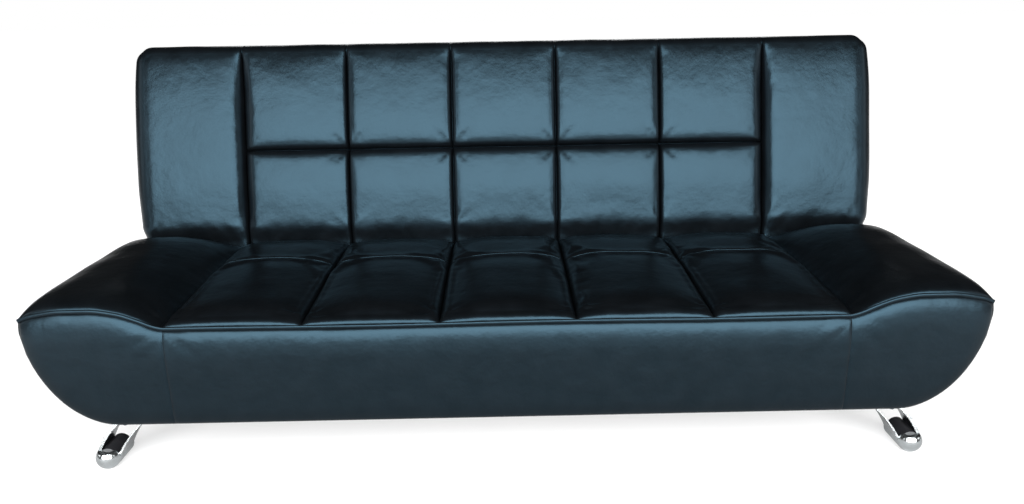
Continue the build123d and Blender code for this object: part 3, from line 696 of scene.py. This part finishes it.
# ---- piping ------------------------------------------------------------------------------------
def tube_along(name, centres, radius, sides, flat=1.0):
    """Round or flattened cord along a line of points."""
    tangent = np.gradient(centres, axis=0)
    tangent /= np.linalg.norm(tangent, axis=1)[:, None]
    side = np.cross(tangent, np.array([0, 1.0, 0]))
    side /= np.linalg.norm(side, axis=1)[:, None]
    out = np.cross(side, tangent)
    angle = np.linspace(0, 2 * math.pi, sides, endpoint=False)
    ring = np.cos(angle)[None, :, None] * side[:, None] + flat * np.sin(angle)[None, :, None] * out[:, None]
    points = centres[:, None] + radius * ring
    return piece_from_grid(name, np.concatenate([points, points[:, :1]], axis=1))


def front_piping():
    """Line of the piping along the front of the seat."""
    xs = both_ways(spaced([0, SEAM_X, 0.80, TIP_X - 0.002], 0.006))
    y = np.full_like(xs, FRONT_Y + PIPING_Y - 0.0035)
    return np.stack([xs, y, piping_height(xs)], axis=-1)


# ---- material helpers --------------------------------------------------------------------------
def new_material(name):
    made = bpy.data.materials.new(name)
    made.use_nodes = True
    return made, made.node_tree, made.node_tree.nodes["Principled BSDF"]


def set_uniform(shader, **values):
    for key, value in values.items():
        shader.inputs[key.replace("_", " ")].default_value = value


def node(tree, kind, **settings):
    made = tree.nodes.new(kind)
    for key, value in settings.items():
        setattr(made, key, value)
    return made


def object_points(tree):
    return node(tree, "ShaderNodeTexCoord").outputs["Object"]


def noise(tree, points, scale, detail=4.0, rough=0.55):
    made = node(tree, "ShaderNodeTexNoise")
    made.inputs["Scale"].default_value = scale
    made.inputs["Detail"].default_value = detail
    made.inputs["Roughness"].default_value = rough
    tree.links.new(points, made.inputs["Vector"])
    return made.outputs["Fac"]


def ramp(tree, value, low, high):
    """Colour between low and high, over the middle of a noise's values."""
    made = node(tree, "ShaderNodeValToRGB")
    made.color_ramp.elements[0].position = 0.3
    made.color_ramp.elements[1].position = 0.7
    made.color_ramp.elements[0].color = low
    made.color_ramp.elements[1].color = high
    tree.links.new(value, made.inputs["Fac"])
    return made.outputs["Color"]


def span(tree, value, low, high):
    made = node(tree, "ShaderNodeMapRange")
    made.inputs["To Min"].default_value = low
    made.inputs["To Max"].default_value = high
    tree.links.new(value, made.inputs["Value"])
    return made.outputs["Result"]


def bump(tree, height, distance, strength, below=None):
    made = node(tree, "ShaderNodeBump")
    made.inputs["Distance"].default_value = distance
    made.inputs["Strength"].default_value = strength
    tree.links.new(height, made.inputs["Height"])
    if below is not None:
        tree.links.new(below, made.inputs["Normal"])
    return made.outputs["Normal"]


def grey(level, tint=(1, 1, 1)):
    return (level * tint[0], level * tint[1], level * tint[2], 1.0)


# ---- materials ---------------------------------------------------------------------------------
def leather_material():
    """Smooth black faux leather with soft creases and a fine pebble grain."""
    made, tree, shader = new_material("faux_leather")
    points = object_points(tree)
    cells = node(tree, "ShaderNodeTexVoronoi", feature="DISTANCE_TO_EDGE")
    cells.inputs["Scale"].default_value = 620.0
    tree.links.new(points, cells.inputs["Vector"])
    soft = noise(tree, points, 22.0, 3.0)
    fine = noise(tree, points, 900.0, 2.0)
    bluish = (0.85, 1.0, 1.2)
    tree.links.new(ramp(tree, soft, grey(0.0016, bluish), grey(0.0026, bluish)), shader.inputs["Base Color"])
    tree.links.new(span(tree, soft, 0.29, 0.36), shader.inputs["Roughness"])
    creases = bump(tree, soft, 0.0020, 0.8)
    pebbles = bump(tree, cells.outputs["Distance"], 0.0004, 0.16, creases)
    tree.links.new(bump(tree, fine, 0.0003, 0.05, pebbles), shader.inputs["Normal"])
    set_uniform(shader, Specular_IOR_Level=0.28, Specular_Tint=(0.38, 0.74, 1.0, 1.0))
    return made


def plain_material(name, colour, rough, metallic=0.0, grain=60.0, spread=0.25, depth=0.0003, strength=0.2):
    """Uneven colour, roughness and a little relief, for painted, plastic and metal parts."""
    made, tree, shader = new_material(name)
    points = object_points(tree)
    value = noise(tree, points, grain)
    low = grey(1 - spread, colour)
    high = grey(1 + spread, colour)
    tree.links.new(ramp(tree, value, low, high), shader.inputs["Base Color"])
    tree.links.new(span(tree, value, rough * 0.8, min(1.0, rough * 1.2)), shader.inputs["Roughness"])
    tree.links.new(bump(tree, noise(tree, points, grain * 12), depth, strength), shader.inputs["Normal"])
    set_uniform(shader, Metallic=metallic)
    return made


def fabric_material(name, colour, scale):
    """Woven or felted cloth."""
    made, tree, shader = new_material(name)
    points = object_points(tree)
    fibre = noise(tree, points, scale, 3.0, 0.7)
    blotch = noise(tree, points, 30.0)
    tree.links.new(ramp(tree, blotch, grey(0.8, colour), grey(1.2, colour)), shader.inputs["Base Color"])
    tree.links.new(span(tree, fibre, 0.75, 0.95), shader.inputs["Roughness"])
    tree.links.new(bump(tree, fibre, 0.0006, 0.5), shader.inputs["Normal"])
    set_uniform(shader, Sheen_Weight=0.15)
    return made


def wood_material(name):
    """Pale veneer with its grain along the sofa."""
    made, tree, shader = new_material(name)
    stretch = node(tree, "ShaderNodeMapping")
    stretch.inputs["Scale"].default_value = (3.0, 30.0, 30.0)
    tree.links.new(object_points(tree), stretch.inputs["Vector"])
    value = noise(tree, stretch.outputs["Vector"], 4.0, 6.0, 0.6)
    dark, pale = (0.42, 0.27, 0.14, 1), (0.66, 0.49, 0.29, 1)
    tree.links.new(ramp(tree, value, dark, pale), shader.inputs["Base Color"])
    tree.links.new(span(tree, value, 0.5, 0.7), shader.inputs["Roughness"])
    tree.links.new(bump(tree, value, 0.0006, 0.3), shader.inputs["Normal"])
    return made


leather = leather_material()
materials = {
    "leather": leather,
    "piping": leather,
    "chrome": plain_material(
        "chrome", (0.50, 0.53, 0.54), 0.20, metallic=1.0, grain=90.0, spread=0.10, depth=0.0002, strength=0.06
    ),
    "foot_plastic": plain_material("foot_plastic", (0.012, 0.012, 0.014), 0.32, grain=80.0, spread=0.2),
    "steel_frame": plain_material("frame_paint", (0.016, 0.016, 0.018), 0.42, grain=50.0, spread=0.3),
    "hinge_steel": plain_material("hinge_paint", (0.03, 0.03, 0.033), 0.38, grain=60.0, spread=0.3),
    "fasteners": plain_material(
        "zinc_plate", (0.55, 0.55, 0.57), 0.30, metallic=1.0, grain=120.0, spread=0.08
    ),
    "spring_steel": plain_material(
        "spring_wire", (0.42, 0.42, 0.43), 0.35, metallic=1.0, grain=200.0, spread=0.15
    ),
    "plugs": plain_material("rail_plug", (0.02, 0.02, 0.02), 0.6, grain=90.0),
    "rubber": plain_material("buffer_rubber", (0.015, 0.015, 0.015), 0.8, grain=150.0, spread=0.3),
    "plywood": wood_material("plywood"),
    "felt": fabric_material("felt", (0.35, 0.34, 0.32), 500.0),
    "foam": fabric_material("foam", (0.85, 0.80, 0.55), 700.0),
    "lining": fabric_material("black_lining", (0.016, 0.016, 0.017), 1100.0),
}


def dress(obj, slot):
    obj.data.materials.clear()
    obj.data.materials.append(materials[slot])


slot_of = {s["node"]: s["material_slot"] for s in frame["record"]["subparts"]}
for name, obj in frame["nodes"].items():
    dress(obj, slot_of[name])


# ---- assemble ----------------------------------------------------------------------------------
def soft_piece(name, points, body, replaced, skip=None, flip=False):
    """Padded leather piece that rides on a body and stands for some of its CAD nodes."""
    made = piece_from_grid(name, points, skip, flip)
    thicken(made, LEATHER)
    dress(made, "leather")
    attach(made, body)
    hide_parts(*replaced)


def lining_piece(name, points, skip, replaced):
    """Stretched sheet of thin lining cloth on the seat."""
    made = piece_from_grid(name, points, skip)
    thicken(made, LINING)
    dress(made, "lining")
    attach(made, "seat_base")
    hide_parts(replaced)


replaced = ["seat_cover", "seat_foam", "seat_spring_pad"]
soft_piece("seat_columns", seat_columns(), "seat_base", replaced, flip=True)
for side, name in ((1, "right"), (-1, "left")):
    replaced = ["end_cover_" + name, "seat_end_foam_" + name]
    soft_piece("end_panel_" + name, end_panel(side), "seat_base", replaced, flip=side > 0)
soft_piece("apron_panel", apron(), "seat_base", ["front_apron"])
points, skip = back_front()
soft_piece("backrest_front", points, "backrest", ["back_cover_front", "back_foam", "back_pad"], skip)
points, skip = back_rear()
soft_piece("backrest_rear", points, "backrest", ["back_cover_rear"], skip, flip=True)

points, skip = rear_lining()
lining_piece("rear_lining", points, skip, "seat_rear_cover")
points, skip = dust_lining()
lining_piece("dust_lining", points, skip, "dust_cover")

piping = tube_along("front_piping", front_piping(), 0.0042, 12, 0.65)
dress(piping, "piping")
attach(piping, "seat_base")
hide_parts("seat_piping")

for i, start in enumerate(SEAMS[:-1]):
    cord = tube_along("cross_seam_%d" % (i + 1), cross_seam(start), 0.0013, 8)
    dress(cord, "leather")
    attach(cord, "seat_base")

# ---- studio ------------------------------------------------------------------------------------
CAMERA_PITCH = math.radians(17.92)
CAMERA_YAW = math.radians(-0.42)
CAMERA_ROLL = math.radians(-1.00)
CAMERA_PLACE = (-0.001, FRONT_Y - 1.4014, 0.8816)
STAGE_REACH = 60.0
GLOW_NEAR = 1.0
GLOW_FAR = 2.6


def make_camera():
    data = bpy.data.cameras.new("camera")
    made = bpy.data.objects.new("camera", data)
    bpy.context.scene.collection.objects.link(made)
    data.lens = 28.05
    data.sensor_width = 36.0
    data.shift_y = 0.0158
    made.location = CAMERA_PLACE
    turn = Matrix.Rotation(CAMERA_YAW, 3, "Z") @ Matrix.Rotation(math.pi / 2 - CAMERA_PITCH, 3, "X")
    turn = turn @ Matrix.Rotation(CAMERA_ROLL, 3, "Z")
    made.rotation_euler = turn.to_euler()
    bpy.context.scene.camera = made


def area_light(name, place, target, size, power):
    data = bpy.data.lights.new(name, "AREA")
    data.shape = "RECTANGLE"
    data.size, data.size_y = size
    data.energy = power
    made = bpy.data.objects.new(name, data)
    bpy.context.scene.collection.objects.link(made)
    made.location = place
    aim = (Vector(target) - Vector(place)).to_track_quat("-Z", "Y")
    made.rotation_euler = aim.to_euler()


def make_stage():
    """Pale studio floor that ends in the white surroundings.

    It glows away from the sofa. Near the sofa it glows half as much, and only as the camera sees it.
    """
    places = np.linspace(-STAGE_REACH, STAGE_REACH, 3)
    x, y = np.meshgrid(places, places, indexing="ij")
    stage = piece_from_grid("stage_floor", np.stack([x, y, np.zeros_like(x)], axis=-1))
    made, tree, shader = new_material("stage_white")
    points = object_points(tree)
    tree.links.new(ramp(tree, noise(tree, points, 2.0), grey(0.43), grey(0.47)), shader.inputs["Base Color"])
    distance = node(tree, "ShaderNodeVectorMath", operation="LENGTH")
    tree.links.new(points, distance.inputs[0])
    glow = node(tree, "ShaderNodeMapRange", interpolation_type="SMOOTHSTEP")
    glow.inputs["From Min"].default_value = GLOW_NEAR
    glow.inputs["From Max"].default_value = GLOW_FAR
    glow.inputs["To Max"].default_value = 1.0
    rays = node(tree, "ShaderNodeLightPath")
    tree.links.new(span(tree, rays.outputs["Is Camera Ray"], 0.0, 0.5), glow.inputs["To Min"])
    tree.links.new(distance.outputs["Value"], glow.inputs["Value"])
    tree.links.new(glow.outputs["Result"], shader.inputs["Emission Strength"])
    set_uniform(shader, Roughness=0.9, Emission_Color=(1, 1, 1, 1))
    stage.data.materials.append(made)


def make_world():
    """White surroundings as the camera sees them, and only a little light from them for the rest."""
    world = bpy.data.worlds.new("studio")
    world.use_nodes = True
    tree = world.node_tree
    background = tree.nodes["Background"]
    background.inputs["Color"].default_value = (1, 1, 1, 1)
    rays = node(tree, "ShaderNodeLightPath")
    level = span(tree, rays.outputs["Is Camera Ray"], 0.03, 1.0)
    tree.links.new(level, background.inputs["Strength"])
    bpy.context.scene.world = world


make_camera()
make_stage()
area_light("key_softbox", (0.0, -3.5, 1.80), (0, 0.1, 0.55), (6.4, 2.5), 690)
for side in (-1, 1):
    area_light("side_softbox", (side * 3.4, -0.9, 1.5), (side * 0.8, 0.1, 0.5), (1.2, 1.8), 14)
area_light("rear_softbox", (0.0, 3.4, 2.2), (0, 0.4, 0.3), (3.6, 1.2), 45)
make_world()
bpy.context.scene.view_settings.view_transform = "Standard"
